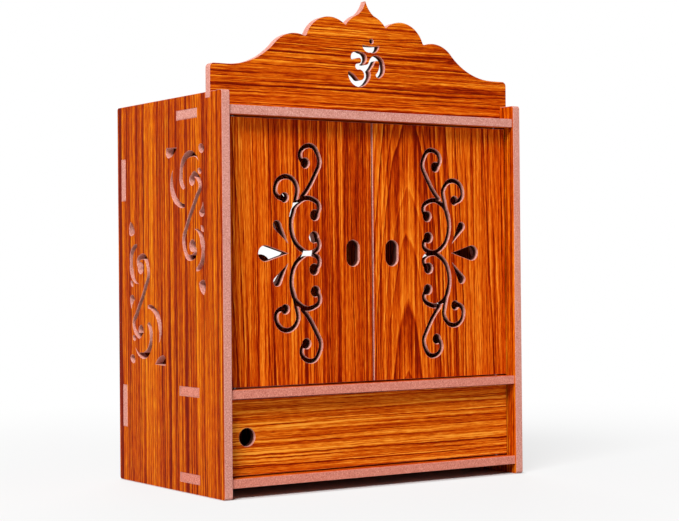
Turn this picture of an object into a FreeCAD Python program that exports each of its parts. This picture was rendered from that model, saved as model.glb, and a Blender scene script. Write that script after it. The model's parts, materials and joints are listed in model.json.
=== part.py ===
import FreeCAD, Part
import math
import os

import Sketcher
from FreeCAD import Vector

# Pooja mandir: a small shrine cabinet of flat boards that slot together. Two side panels carry
# three shelves and a back panel on through tenons, a crowned header sits in notches in their top
# edges, a pair of fretted doors closes the shrine and one long door closes the storage below.
# Millimetres. X runs to the right, the front faces -Y, and the origin is on the ground, midway.

os.makedirs("parts", exist_ok=True)
doc = FreeCAD.newDocument("pooja_mandir")

# Driving dimensions
SIZES = [
    ("cabinet_width", 315, "over the outer faces of the side panels"),
    ("cabinet_depth", 192.5, "front edge to rear edge of a side panel"),
    ("board_thick", 7.5, "every board is cut from the same laminated board"),
    ("base_gap", 9, "ground to the underside of the bottom shelf"),
    ("storage_height", 66, "clear height of the storage compartment"),
    ("shrine_height", 228.4, "clear height of the shrine compartment"),
    ("side_rise", 12.1, "side panels above the top face of the top shelf"),
    ("side_corner", 2.5, "rounding of a side panel's outer corners"),
    ("shelf_setback", 1.6, "shelf fronts behind the front edges of the side panels"),
    ("back_inset", 8, "side panels behind the rear face of the back panel"),
    ("tenon_start", 42.5, "front edge of the side panel to the shelf tenons"),
    ("tenon_length", 33, "tenons of the middle and bottom shelves"),
    ("top_tenon_length", 35, "tenons of the top shelf"),
    ("slot_play", 0.15, "gap between a tenon and each side of its slot"),
    ("slot_slack", 1.3, "extra length at the rear end of a shelf slot"),
    ("rear_tenon_length", 33, "tenons from the shelves into the back panel"),
    ("rear_tenon_offset", 78, "middle of the cabinet to the middle of a rear tenon"),
    ("back_tab_length", 37, "tabs of the back panel in the side panels"),
    ("low_tab_height", 40, "underside of the bottom shelf to the lower back tab"),
    ("high_tab_drop", 48, "top edge of the side panel to the upper back tab"),
    ("header_setback", 19.5, "front edge of the side panel to the header"),
    ("header_notch", 4.7, "depth of the header's notch in the side panel's top edge"),
    ("header_shoulder", 24, "side panel's top edge to the header's straight shoulder"),
    ("header_corner", 4, "rounding of the header's shoulder ends"),
    ("door_setback", 12, "front edge of the side panel to the doors"),
    ("leaf_gap", 1.2, "running gap above, below and beside a door"),
    ("seam_gap", 1.5, "gap between the two shrine doors"),
    ("pivot_inset", 10, "outer edge of a door to its pivot line"),
    ("pin_diameter", 3, "steel pivot pins"),
    ("pin_depth", 14, "pivot pin inside the door"),
    ("pin_reach", 2.8, "pivot pin inside the shelf"),
    ("pin_play", 0.1, "radial running clearance of a pivot pin"),
    ("pin_end_play", 0.3, "pivot pin's end to the bottom of its hole"),
    ("finger_slot_width", 13.5, "finger slots that serve as door pulls"),
    ("finger_slot_height", 23, "finger slots, end to end"),
    ("finger_slot_offset", 20.7, "door seam to the middle of a finger slot"),
    ("pattern_drop", 1.2, "middle of the door to the line its cut-outs are centred on"),
    ("pull_hole_diameter", 15.5, "finger hole of the storage door"),
    ("pull_hole_inset", 19.8, "free edge of the storage door to its finger hole"),
    ("door_pattern_height", 188.6, "scrolls of a shrine door, top to bottom"),
    ("side_pattern_height", 188.8, "cut-outs of a side panel, top to bottom"),
    ("side_pattern_depth", 100, "front edge of the side panel to the middle of its cut-outs"),
    ("side_pattern_drop", 3.2, "middle of the shrine to the line the side cut-outs turn about"),
    ("sign_height", 43, "sacred sign in the header, bottom to top"),
    ("back_sign_height", 101, "the same sign in the back panel, bottom to top"),
    ("back_sign_drop", 6.2, "middle of the shrine to the line that sign is drawn up from"),
]

sheet = doc.addObject("Spreadsheet::Sheet", "sizes")
for row, (alias, number, note) in enumerate(SIZES, start=1):
    sheet.set(f"A{row}", alias)
    sheet.set(f"B{row}", str(number))
    sheet.setAlias(f"B{row}", alias)
    sheet.set(f"C{row}", note)
doc.recompute()


def size(alias):
    """The plain number in a cell of the sheet."""
    return float(sheet.get(alias))


# Places that follow from the driving dimensions, as expressions on the sheet
GROUND = "0"
half_width = "sizes.cabinet_width / 2"
half_depth = "sizes.cabinet_depth / 2"
thick = "sizes.board_thick"
inner_half = f"({half_width} - {thick})"
bottom_under = "sizes.base_gap"
bottom_top = f"({bottom_under} + {thick})"
middle_under = f"({bottom_top} + sizes.storage_height)"
middle_top = f"({middle_under} + {thick})"
top_under = f"({middle_top} + sizes.shrine_height)"
top_top = f"({top_under} + {thick})"
side_top = f"({top_top} + sizes.side_rise)"
back_rear = f"({half_depth} - sizes.back_inset)"
back_front = f"({back_rear} - {thick})"
shelf_front = f"(sizes.shelf_setback - {half_depth})"
tenon_front = f"(sizes.tenon_start - {half_depth})"
header_front = f"(sizes.header_setback - {half_depth})"
header_rear = f"({header_front} + {thick})"
ear_under = f"({side_top} - sizes.header_notch)"
low_tab = f"({bottom_under} + sizes.low_tab_height)"
high_tab = f"({side_top} - sizes.high_tab_drop - sizes.back_tab_length)"
door_front = f"(sizes.door_setback - {half_depth})"
pivot_line = f"({inner_half} - sizes.leaf_gap - sizes.pivot_inset)"
pivot_depth = f"({door_front} + {thick} / 2)"


def place(name):
    """The same places as numbers, for shapes that are made outside a sketch."""
    header_under = size("base_gap") + 3 * size("board_thick")
    header_under += size("storage_height") + size("shrine_height")
    places = {"header_under": header_under}
    places["side_top"] = header_under + size("side_rise")
    places["ear_under"] = places["side_top"] - size("header_notch")
    places["shoulder"] = places["side_top"] + size("header_shoulder")
    places["half_width"] = size("cabinet_width") / 2
    places["inner_half"] = places["half_width"] - size("board_thick")
    middle_of_doors = header_under - size("board_thick") - size("shrine_height") / 2
    places["pattern_line"] = middle_of_doors - size("pattern_drop")
    return places[name]


# Helpers for boards
def new_body(name):
    return doc.addObject("PartDesign::Body", name)


def new_sketch(body, name, plane):
    """A sketch on one of the body's own origin planes."""
    sketch = body.newObject("Sketcher::SketchObject", name)
    origin_plane = [item for item in body.Origin.OriginFeatures if item.Role == plane][0]
    sketch.AttachmentSupport = [(origin_plane, "")]
    sketch.MapMode = "FlatFace"
    return sketch


def bind(sketch, constraint, expression):
    index = sketch.addConstraint(constraint)
    sketch.setExpression(f"Constraints[{index}]", expression)


def draw_polygon(sketch, corners):
    """A closed outline whose corners are each held by two sizes from the sheet."""
    start = sketch.GeometryCount
    count = len(corners)
    for step in range(count):
        here = Vector(step, step * step, 0)
        there = Vector(step + 1, (step + 1) ** 2, 0)
        sketch.addGeometry(Part.LineSegment(here, there), False)
    for step in range(count):
        line = start + step
        following = start + (step + 1) % count
        sketch.addConstraint(Sketcher.Constraint("Coincident", line, 2, following, 1))
    for step, (across, up) in enumerate(corners):
        line = start + step
        bind(sketch, Sketcher.Constraint("DistanceX", -1, 1, line, 1, float(step)), across)
        if up == GROUND:
            sketch.addConstraint(Sketcher.Constraint("PointOnObject", line, 1, -1))
        else:
            bind(sketch, Sketcher.Constraint("DistanceY", -1, 1, line, 1, float(step * step)), up)


def draw_rectangle(sketch, left, right, low, high):
    draw_polygon(sketch, [(left, low), (right, low), (right, high), (left, high)])


def draw_circle(sketch, across, up, diameter):
    start = sketch.addGeometry(Part.Circle(Vector(1, 1, 0), Vector(0, 0, 1), 1.0), False)
    bind(sketch, Sketcher.Constraint("Diameter", start, 2.0), diameter)
    bind(sketch, Sketcher.Constraint("DistanceX", -1, 1, start, 3, 1.0), across)
    bind(sketch, Sketcher.Constraint("DistanceY", -1, 1, start, 3, 1.0), up)


def pad_board(body, sketch, thickness=thick):
    """Raise a board from its sketch, towards +X, +Y or +Z."""
    pad = body.newObject("PartDesign::Pad", body.Name + "_pad")
    pad.Profile = sketch
    pad.setExpression("Length", thickness)
    pad.Reversed = "XZ_Plane" in sketch.AttachmentSupport[0][0].Role
    sketch.Visibility = False
    return pad


def cut_board(body, sketch, name, depth=None):
    """Cut a sketch through the board, or to a depth from the sketch's plane."""
    pocket = body.newObject("PartDesign::Pocket", name)
    pocket.Profile = sketch
    if depth is None:
        pocket.Type = "ThroughAll"
    else:
        pocket.setExpression("Length", depth)
    pocket.Reversed = "XZ_Plane" not in sketch.AttachmentSupport[0][0].Role
    sketch.Visibility = False
    return pocket


# Side panels
def make_side(name, side):
    """One side panel: side is -1 for the left one and 1 for the right one."""
    body = new_body(name + "_board")
    outline = new_sketch(body, name + "_outline", "YZ_Plane")
    rear = half_depth
    front = f"(-{half_depth})"
    draw_polygon(outline, [
        (front, GROUND),
        (rear, GROUND),
        (rear, side_top),
        (header_rear, side_top),
        (header_rear, ear_under),
        (header_front, ear_under),
        (header_front, side_top),
        (front, side_top),
    ])
    pad_board(body, outline)

    slots = new_sketch(body, name + "_slots", "YZ_Plane")
    play = "sizes.slot_play"
    shelves = [
        (bottom_under, "sizes.tenon_length"),
        (middle_under, "sizes.tenon_length"),
        (top_under, "sizes.top_tenon_length"),
    ]
    for under, length in shelves:
        slot_end = f"({tenon_front} + {length} + sizes.slot_slack)"
        draw_rectangle(slots, f"({tenon_front} - {play})", slot_end,
                       f"({under} - {play})", f"({under} + {thick} + {play})")
    for tab in (low_tab, high_tab):
        draw_rectangle(slots, f"({back_front} - {play})", f"({back_rear} + {play})",
                       f"({tab} - {play})", f"({tab} + sizes.back_tab_length + {play})")
    slotted = cut_board(body, slots, name + "_slot_cut")
    doc.recompute()

    corner_edges = []
    for number, edge in enumerate(body.Shape.Edges, start=1):
        box = edge.BoundBox
        at_end = abs(abs(box.YMin) - size("cabinet_depth") / 2) < 0.01 and box.YLength < 0.01
        at_height = box.ZLength < 0.01 and (box.ZMin < 0.01 or box.ZMin > place("side_top") - 0.01)
        if at_end and at_height:
            corner_edges.append(f"Edge{number}")
    rounding = body.newObject("PartDesign::Fillet", name + "_corners")
    rounding.Base = (slotted, corner_edges)
    rounding.setExpression("Radius", "sizes.side_corner")
    offset = f"-({half_width})" if side < 0 else inner_half
    body.setExpression("Placement.Base.x", offset)
    return body


# Shelves
def make_shelf(name, under, tenon_length, holes_above, holes_below):
    """One shelf with its tenons. The holes are the X places of blind pivot holes."""
    body = new_body(name + "_board")
    outline = new_sketch(body, name + "_outline", "XY_Plane")
    tenon_rear = f"({tenon_front} + {tenon_length})"
    rear_in = "(sizes.rear_tenon_offset - sizes.rear_tenon_length / 2)"
    rear_out = "(sizes.rear_tenon_offset + sizes.rear_tenon_length / 2)"
    right_half = [
        (inner_half, shelf_front),
        (inner_half, tenon_front),
        (half_width, tenon_front),
        (half_width, tenon_rear),
        (inner_half, tenon_rear),
        (inner_half, back_front),
        (rear_out, back_front),
        (rear_out, back_rear),
        (rear_in, back_rear),
        (rear_in, back_front),
    ]
    left_half = [(f"(-({across}))", along) for across, along in reversed(right_half)]
    draw_polygon(outline, right_half + left_half)
    pad_board(body, outline)

    hole_size = "(sizes.pin_diameter + 2 * sizes.pin_play)"
    hole_depth = "(sizes.pin_reach + sizes.pin_end_play)"
    for word, holes in (("above", holes_above), ("below", holes_below)):
        if not holes:
            continue
        sketch = new_sketch(body, f"{name}_holes_{word}", "XY_Plane")
        for across in holes:
            draw_circle(sketch, across, pivot_depth, hole_size)
        pocket = cut_board(body, sketch, f"{name}_hole_cut_{word}", hole_depth)
        if word == "above":
            sketch.setExpression("AttachmentOffset.Base.z", thick)
            pocket.Reversed = False
    body.setExpression("Placement.Base.z", under)
    return body


# Back panel
def make_back():
    """The back panel with its side tabs and the slots for the shelves' rear tenons."""
    body = new_body("back_panel_board")
    outline = new_sketch(body, "back_panel_outline", "XZ_Plane")
    low_tab_end = f"({low_tab} + sizes.back_tab_length)"
    high_tab_end = f"({high_tab} + sizes.back_tab_length)"
    right_half = [
        (inner_half, bottom_under),
        (inner_half, low_tab),
        (half_width, low_tab),
        (half_width, low_tab_end),
        (inner_half, low_tab_end),
        (inner_half, high_tab),
        (half_width, high_tab),
        (half_width, high_tab_end),
        (inner_half, high_tab_end),
        (inner_half, side_top),
    ]
    left_half = [(f"(-({across}))", up) for across, up in reversed(right_half)]
    draw_polygon(outline, right_half + left_half)
    pad_board(body, outline)

    slots = new_sketch(body, "back_panel_slots", "XZ_Plane")
    play = "sizes.slot_play"
    reach = f"(sizes.rear_tenon_length / 2 + {play})"
    for middle in ("(-sizes.rear_tenon_offset)", "sizes.rear_tenon_offset"):
        for under in (bottom_under, middle_under, top_under):
            low = f"({under} - {play})"
            if under == bottom_under:
                low = f"({under} - {thick})"
            draw_rectangle(slots, f"({middle} - {reach})", f"({middle} + {reach})",
                           low, f"({under} + {thick} + {play})")
    cut_board(body, slots, "back_panel_slot_cut")
    body.setExpression("Placement.Base.y", back_front)
    return body


# Header
# The crown's right half, from the spike down to the shoulder. Each arc is given by a point on
# the way and its end, both as (out from the middle, above the shoulder).
CROWN_TIP = (0, 63.4)
CROWN_ARCS = [
    ((3.2, 56.4), (8.5, 50.8)),
    ((15.8, 46.8), (21.5, 41)),
    ((40.5, 46.8), (62, 30)),
    ((63, 28.9), (64, 28.7)),
    ((79, 29.6), (92.5, 22.5)),
    ((113, 6.6), (142.5, 0)),
]


def make_header():
    """The header board, from one run of arcs that is mirrored about the middle."""
    shoulder = place("shoulder")
    half = place("half_width")
    corner = size("header_corner")
    notch_low = place("ear_under")
    under = place("header_under")
    inner = place("inner_half")

    def at(across, up):
        return Vector(across, up, 0)

    here = at(CROWN_TIP[0], CROWN_TIP[1] + shoulder)
    edges = []
    for way, end in CROWN_ARCS:
        there = at(end[0], end[1] + shoulder)
        edges.append(Part.Arc(here, at(way[0], way[1] + shoulder), there))
        here = there
    ease = corner * (1 - 0.5 ** 0.5)
    edges.append(Part.LineSegment(here, at(half - corner, shoulder)))
    edges.append(Part.Arc(at(half - corner, shoulder), at(half - ease, shoulder - ease),
                          at(half, shoulder - corner)))
    straights = [at(half, shoulder - corner), at(half, notch_low), at(inner, notch_low),
                 at(inner, under)]
    for start, end in zip(straights, straights[1:]):
        edges.append(Part.LineSegment(start, end))
    right = Part.Wire([edge.toShape() for edge in edges])
    left = right.mirror(Vector(0, 0, 0), Vector(1, 0, 0))
    base = Part.LineSegment(at(-inner, under), at(inner, under)).toShape()

    body = new_body("header_board")
    sketch = new_sketch(body, "header_outline", "XZ_Plane")
    for edge in right.Edges + left.Edges + [base]:
        sketch.addGeometry(edge.Curve.trim(*edge.ParameterRange), False)
    pad_board(body, sketch)
    body.setExpression("Placement.Base.y", header_front)
    return body


# Doors
def make_leaf(name, left, right, low, high):
    """A plain door board between four edges, standing at the doors' setback."""
    body = new_body(name + "_board")
    outline = new_sketch(body, name + "_outline", "XZ_Plane")
    draw_rectangle(outline, left, right, low, high)
    pad_board(body, outline)
    body.setExpression("Placement.Base.y", door_front)
    return body


def bore_leaf(body, name, pivot, low, high):
    """Bores for the pivot pins, up and down into the ends of a door."""
    for word, level, up in (("low", low, True), ("high", high, False)):
        sketch = new_sketch(body, f"{name}_{word}_bore", "XY_Plane")
        sketch.setExpression("AttachmentOffset.Base.z", level)
        draw_circle(sketch, pivot, f"({thick} / 2)", "sizes.pin_diameter")
        pocket = cut_board(body, sketch, f"{name}_{word}_bore_cut", "sizes.pin_depth")
        pocket.Reversed = up


shrine_low = f"({middle_top} + sizes.leaf_gap)"
shrine_high = f"({top_under} - sizes.leaf_gap)"
storage_low = f"({bottom_top} + sizes.leaf_gap)"
storage_high = f"({middle_under} - sizes.leaf_gap)"
leaf_edge = f"({inner_half} - sizes.leaf_gap)"
shrine_middle = f"(({middle_top} + {top_under}) / 2)"
pattern_line = f"({shrine_middle} - sizes.pattern_drop)"


def make_shrine_door(name, side):
    """One door of the pair, with its finger slot: side is -1 for left and 1 for right."""
    seam = "sizes.seam_gap / 2"
    if side < 0:
        body = make_leaf(name, f"(-{leaf_edge})", f"(-{seam})", shrine_low, shrine_high)
    else:
        body = make_leaf(name, seam, leaf_edge, shrine_low, shrine_high)
    sign = "-1" if side < 0 else "1"
    sketch = new_sketch(body, name + "_finger_slot", "XZ_Plane")
    middle = f"({sign} * sizes.finger_slot_offset)"
    straight = "((sizes.finger_slot_height - sizes.finger_slot_width) / 2)"
    half_slot = size("finger_slot_width") / 2
    half_straight = size("finger_slot_height") / 2 - half_slot
    here = Vector(side * size("finger_slot_offset"), place("pattern_line"), 0)
    right_low = here + Vector(half_slot, -half_straight, 0)
    right_high = here + Vector(half_slot, half_straight, 0)
    left_low = here + Vector(-half_slot, -half_straight, 0)
    left_high = here + Vector(-half_slot, half_straight, 0)
    top = here + Vector(0, half_straight + half_slot, 0)
    bottom = here - Vector(0, half_straight + half_slot, 0)
    sketch.addGeometry(Part.LineSegment(right_low, right_high), False)
    sketch.addGeometry(Part.Arc(right_high, top, left_high), False)
    sketch.addGeometry(Part.LineSegment(left_high, left_low), False)
    sketch.addGeometry(Part.Arc(left_low, bottom, right_low), False)
    for ends in ((0, 2, 1, 1), (1, 2, 2, 1), (2, 2, 3, 1), (3, 2, 0, 1)):
        sketch.addConstraint(Sketcher.Constraint("Tangent", *ends))
    for arc, word, level in ((1, "+", half_straight), (3, "-", -half_straight)):
        bind(sketch, Sketcher.Constraint("DistanceX", -1, 1, arc, 3, here.x), middle)
        bind(sketch, Sketcher.Constraint("DistanceY", -1, 1, arc, 3, here.y + level),
             f"{pattern_line} {word} {straight}")
    bind(sketch, Sketcher.Constraint("Radius", 1, half_slot), "sizes.finger_slot_width / 2")
    cut_board(body, sketch, name + "_finger_cut")
    bore_leaf(body, name, f"({sign} * {pivot_line})", shrine_low, shrine_high)
    return body


def make_storage_door():
    """The long door of the storage compartment, hung at its right end."""
    name = "storage_door"
    body = make_leaf(name, f"(-{leaf_edge})", leaf_edge, storage_low, storage_high)
    sketch = new_sketch(body, name + "_pull_hole", "XZ_Plane")
    draw_circle(sketch, f"(sizes.pull_hole_inset - {leaf_edge})",
                f"(({storage_low} + {storage_high}) / 2)", "sizes.pull_hole_diameter")
    cut_board(body, sketch, name + "_pull_cut")
    bore_leaf(body, name, pivot_line, storage_low, storage_high)
    return body


def make_pin(name, across, leaf_end, upward):
    """A pivot pin pressed into the end of a door and running in the shelf next to it."""
    pin = doc.addObject("Part::Cylinder", name)
    pin.setExpression("Radius", "sizes.pin_diameter / 2")
    pin.setExpression("Height", "sizes.pin_depth + sizes.leaf_gap + sizes.pin_reach")
    pin.setExpression("Placement.Base.x", across)
    pin.setExpression("Placement.Base.y", pivot_depth)
    if upward:
        pin.setExpression("Placement.Base.z", f"{leaf_end} - sizes.pin_depth")
    else:
        pin.setExpression("Placement.Base.z", f"{leaf_end} - sizes.leaf_gap - sizes.pin_reach")
    return pin


# Fretwork
# Each pattern is drawn flat about a middle of its own, brought to its height from the sheet and
# given the board's thickness. A scroll is a stroke of even width along a smooth run of arcs,
# with a round eye at its inner end. A leaf, a crescent or a drop is a closed outline of arcs.
CHORD_DEPTH = 0.12


def spot(point):
    return Vector(point[0], point[1], 0)


def arc_from(start, heading, end):
    """The arc from start to end that leaves start along heading."""
    chord = end - start
    turn = math.atan2(chord.x * heading.y - chord.y * heading.x, chord.dot(heading))
    way = (start + end) / 2 + Vector(-chord.y, chord.x, 0) * (math.tan(turn / 2) / 2)
    return Part.Arc(start, way, end).toShape()


def far_heading(heading, chord):
    """The heading at the other end of an arc over a chord."""
    return chord * (2 * chord.dot(heading) / chord.dot(chord)) - heading


def smooth_run(points):
    """A run of arcs through the points without a corner, two arcs to each inner span."""
    spots = [spot(point) for point in points]
    spans = [there - here for here, there in zip(spots, spots[1:])]
    headings = []
    for before, after in zip(spans, spans[1:]):
        ratio = after.Length / before.Length
        headings.append((before * ratio + after / ratio).normalize())
    headings.insert(0, far_heading(headings[0], spans[0]))
    headings.append(far_heading(headings[-1], spans[-1]))
    edges = [arc_from(spots[0], headings[0], spots[1])]
    for step in range(1, len(spans) - 1):
        span = spans[step]
        leave = headings[step]
        arrive = headings[step + 1]
        along = span.dot(leave + arrive)
        apart = 2 * (1 - leave.dot(arrive))
        reach = (math.sqrt(along ** 2 + apart * span.dot(span)) - along) / apart
        meet = (spots[step] + spots[step + 1] + (leave - arrive) * reach) / 2
        edges.append(arc_from(spots[step], leave, meet))
        edges.append(arc_from(spots[step + 1], -arrive, meet))
    edges.append(arc_from(spots[-2], headings[-2], spots[-1]))
    return Part.Wire(edges)


def scroll(points, width):
    return Part.Face(smooth_run(points).makeOffset2D(width / 2))


def eye(middle, radius):
    circle = Part.Circle(spot(middle), Vector(0, 0, 1), radius).toShape()
    return Part.Face(Part.Wire([circle]))


def closed_arcs(start, arcs):
    """A closed outline: each arc is a point on its way and its end, a straight has no way."""
    here = spot(start)
    edges = []
    for way, end in arcs:
        there = spot(end)
        if way is None:
            edges.append(Part.LineSegment(here, there).toShape())
        else:
            edges.append(Part.Arc(here, spot(way), there).toShape())
        here = there
    return Part.Face(Part.Wire(edges))


def drop(tip, heading, length, width):
    """A teardrop from its tip: two straight sides that run into a round end."""
    radius = width / 2
    middle = length - radius
    lean = math.asin(radius / middle)
    touch_along = middle - radius * math.sin(lean)
    touch_across = radius * math.cos(lean)
    shape = closed_arcs((0, 0), [
        (None, (touch_along, -touch_across)),
        ((length, 0), (touch_along, touch_across)),
        (None, (0, 0)),
    ])
    shape.rotate(Vector(0, 0, 0), Vector(0, 0, 1), heading)
    shape.translate(spot(tip))
    return shape


def in_chords(face, depth=CHORD_DEPTH):
    """The same outline in short flats, for cut-outs that repeat or are drawn large."""
    points = []
    for edge in face.OuterWire.OrderedEdges:
        run = edge.discretize(Deflection=depth)
        if edge.Orientation == "Reversed":
            run.reverse()
        points += run[:-1]
    return Part.Face(Part.makePolygon(points + points[:1]))


def cut_tool(name, faces, height, expressions, turn=0):
    """A drawn pattern as an upright shape of the board's thickness, placed from the sheet."""
    drawn = Part.Compound(faces)
    drawn.scale(size(height) / drawn.optimalBoundingBox().YLength)
    solids = [face.extrude(Vector(0, 0, size("board_thick"))) for face in drawn.Faces]
    joined = solids[0].multiFuse(solids[1:]).removeSplitter()
    joined.rotate(Vector(0, 0, 0), Vector(1, 0, 0), 90)
    joined.rotate(Vector(0, 0, 0), Vector(0, 0, 1), turn)
    tool = doc.addObject("Part::Feature", name)
    tool.Shape = joined
    for axis, expression in expressions.items():
        tool.setExpression(f"Placement.Base.{axis}", expression)
    return tool


def fretted(name, board, tool):
    cut = doc.addObject("Part::Cut", name)
    cut.Base = board
    cut.Tool = tool
    return cut


# The right shrine door, out from the seam and up from its pattern's middle line. What is drawn
# here is the upper half, which is mirrored below that line, and the large drop on the line.
DOOR_STROKE = 4
TALL_SCROLL = [(69, 76.4), (74.2, 82), (65, 92.3), (55.2, 82), (61, 64.5), (73, 48)]
OUTER_SCROLL = [(90.3, 47), (97.5, 48.7), (98.5, 59), (88, 65.4), (77.9, 57), (79.2, 45.5),
                (84, 28)]
INNER_SCROLL = [(59.5, 32.7), (55.4, 38.5), (65, 47.2), (78, 42), (84.1, 24), (75.5, 4.6),
                (65, 0.2), (55.6, 8), (60.5, 14)]
DOOR_EYES = [((69.2, 77.2), 4.6), ((90.3, 47.4), 4.3), ((59.8, 32.7), 4.8), ((60.8, 13.8), 5)]
UPPER_DROP = ((87.5, 9), 55, 22.3, 8)
LARGE_DROP = ((87.2, 0), 0, 29.4, 13.6)


def door_pattern(side):
    scrolls = (TALL_SCROLL, OUTER_SCROLL, INNER_SCROLL)
    upper = [scroll(points, DOOR_STROKE) for points in scrolls]
    upper += [eye(middle, radius) for middle, radius in DOOR_EYES]
    upper.append(drop(*UPPER_DROP))
    upper = [in_chords(face) for face in upper]
    lower = [face.mirror(Vector(0, 0, 0), Vector(0, 1, 0)) for face in upper]
    whole = upper + lower + [in_chords(drop(*LARGE_DROP))]
    if side < 0:
        whole = [face.mirror(Vector(0, 0, 0), Vector(1, 0, 0)) for face in whole]
    return whole


# A side panel, back and up from the middle between its two groups of cut-outs. The upper front
# group is drawn, and the lower rear one is the same group turned half round.
SIDE_STROKE = 4.6
SWAN_SCROLL = [(-48.5, 65), (-49.5, 68.2), (-58.5, 66.5), (-62.5, 60), (-55.5, 49), (-41, 29.5),
               (-33, 11.5), (-43.5, -1.2), (-53, 5), (-48.5, 9)]
SWAN_EYES = [((-48.3, 64.6), 4.6), ((-48.3, 9.2), 5.2)]
CRESCENTS = [
    ((-59, 81.5), [((-43, 89.8), (-27, 71)), ((-28.5, 60.5), (-33, 57.3)), (None, (-35.5, 59)),
                   ((-33.5, 77.5), (-48, 84.6)), ((-54.5, 84.2), (-59, 81.5))]),
    ((-13.8, 74.2), [((-9.5, 58.5), (-22, 44)), ((-28, 42), (-34.7, 42.3)),
                     (None, (-34.7, 44.5)), ((-16.5, 56.5), (-13.8, 74.2))]),
    ((-53, 23), [((-65.5, 18.5), (-68.8, 4)), ((-65, -9), (-55, -12.2)), (None, (-55, -9.8)),
                 ((-63, -2), (-62, 12)), ((-59.5, 19), (-53, 23))]),
]
LEAVES = [
    ((-61.3, 93.8), [((-66.5, 93.8), (-69.6, 89.8)), ((-66, 86.8), (-61.3, 93.8))]),
    ((-59, 73.5), [((-63, 73.7), (-64.8, 71)), ((-61.8, 69.3), (-59, 73.5))]),
    ((-21.3, 93.7), [(None, (-3, 94.3)), ((-1.8, 89.5), (-7, 85.7)),
                     ((-14.8, 88), (-21.3, 93.7))]),
    ((-67, 45.3), [((-68.7, 40), (-69.5, 35.5)), ((-66, 33.3), (-60.5, 37.3)),
                   ((-64.3, 40.5), (-67, 45.3))]),
    ((-63.3, 25.8), [((-66.5, 25), (-67.5, 20.5)), (None, (-63.8, 21.5)),
                     (None, (-63.3, 25.8))]),
    ((-59.6, -22.7), [((-65, -20), (-69, -20.6)), ((-70, -27), (-67.5, -32.3)),
                      ((-62, -28.5), (-59.6, -22.7))]),
]


def side_pattern():
    group = [scroll(SWAN_SCROLL, SIDE_STROKE)]
    group += [eye(middle, radius) for middle, radius in SWAN_EYES]
    group += [closed_arcs(start, arcs) for start, arcs in CRESCENTS + LEAVES]
    group = [in_chords(face) for face in group]
    turned = [face.copy() for face in group]
    for face in turned:
        face.rotate(Vector(0, 0, 0), Vector(0, 0, 1), 180)
    return group + turned


# The sacred sign, out from the middle of the cabinet and, in the header, up from the shoulder:
# the body of the sign in one outline, then the crescent and the dot over it. The same sign
# stands larger in the back panel, behind the shrine doors.
SIGN_START = (-15.2, 10.6)
SIGN_ARCS = [
    ((-15.9, 13.5), (-14.7, 16.5)), ((-10, 18.6), (-4.5, 17.5)), ((0, 15), (0.5, 10.8)),
    ((-0.7, 8.8), (-2.7, 7.4)), ((0, 7), (2.8, 8.6)), ((4.9, 12.9), (9, 15.8)),
    ((16, 14), (19.7, 7)), ((18.8, 0), (14, -4)), ((11.5, -3.4), (10.5, -1)),
    ((14, 4.3), (14.3, 9)), ((12.3, 11.2), (9.3, 9.6)), ((6.7, 5.2), (3.7, 1.8)),
    ((4.7, -1.5), (2.8, -6.5)), ((-1.5, -11), (-7.7, -12.8)), ((-15, -9.7), (-18.9, -1.2)),
    ((-18.5, 0.1), (-17.2, -0.1)), ((-12.7, -2.5), (-8.9, -6)), ((-3.7, -6.2), (-1.9, -2.2)),
    ((-3.7, 1.5), (-8, 2.5)), ((-11.2, 4.8), (-8.5, 8)), ((-5, 10.3), (-6.7, 12.9)),
    ((-11.2, 12.1), SIGN_START),
]
SIGN_CRESCENT = ((-3.5, 24.3), [((5, 23.6), (13.9, 24.2)), ((12, 19.6), (5, 18.3)),
                                ((-1, 19.6), (-3.5, 24.3))])
SIGN_DOT = ((5.9, 28), 2.2)


def sign_pattern():
    return [closed_arcs(SIGN_START, SIGN_ARCS), closed_arcs(*SIGN_CRESCENT), eye(*SIGN_DOT)]


# The assembly
left_pivot = f"(-{pivot_line})"
nodes = {}
for name, side, outer_face in (
    ("side_left", -1, f"(-{half_width})"),
    ("side_right", 1, inner_half),
):
    tool = cut_tool(name + "_cut_outs", side_pattern(), "side_pattern_height", {
        "x": outer_face,
        "y": f"(sizes.side_pattern_depth - {half_depth})",
        "z": f"({shrine_middle} - sizes.side_pattern_drop)",
    }, turn=90)
    nodes[name] = fretted(name, make_side(name, side), tool)

nodes["bottom_shelf"] = make_shelf("bottom_shelf", bottom_under, "sizes.tenon_length",
                                   [pivot_line], [])
nodes["middle_shelf"] = make_shelf("middle_shelf", middle_under, "sizes.tenon_length",
                                   [left_pivot, pivot_line], [pivot_line])
nodes["top_shelf"] = make_shelf("top_shelf", top_under, "sizes.top_tenon_length",
                                [], [left_pivot, pivot_line])

large_sign = [in_chords(face, CHORD_DEPTH / 2) for face in sign_pattern()]
tool = cut_tool("back_panel_sign", large_sign, "back_sign_height",
                {"y": back_rear, "z": f"({shrine_middle} - sizes.back_sign_drop)"})
nodes["back_panel"] = fretted("back_panel", make_back(), tool)
tool = cut_tool("header_sign", sign_pattern(), "sign_height",
                {"y": header_rear, "z": f"({side_top} + sizes.header_shoulder)"})
nodes["header"] = fretted("header", make_header(), tool)

for name, side in (("door_left", -1), ("door_right", 1)):
    tool = cut_tool(name + "_scrolls", door_pattern(side), "door_pattern_height",
                    {"y": f"({door_front} + {thick})", "z": pattern_line})
    nodes[name] = fretted(name, make_shrine_door(name, side), tool)
nodes["storage_door"] = make_storage_door()
for leaf, across, low, high in (
    ("door_left", left_pivot, shrine_low, shrine_high),
    ("door_right", pivot_line, shrine_low, shrine_high),
    ("storage_door", pivot_line, storage_low, storage_high),
):
    nodes[leaf + "_pin_low"] = make_pin(leaf + "_pin_low", across, low, False)
    nodes[leaf + "_pin_high"] = make_pin(leaf + "_pin_high", across, high, True)

for name, item in nodes.items():
    item.Label = name
doc.recompute()

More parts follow.
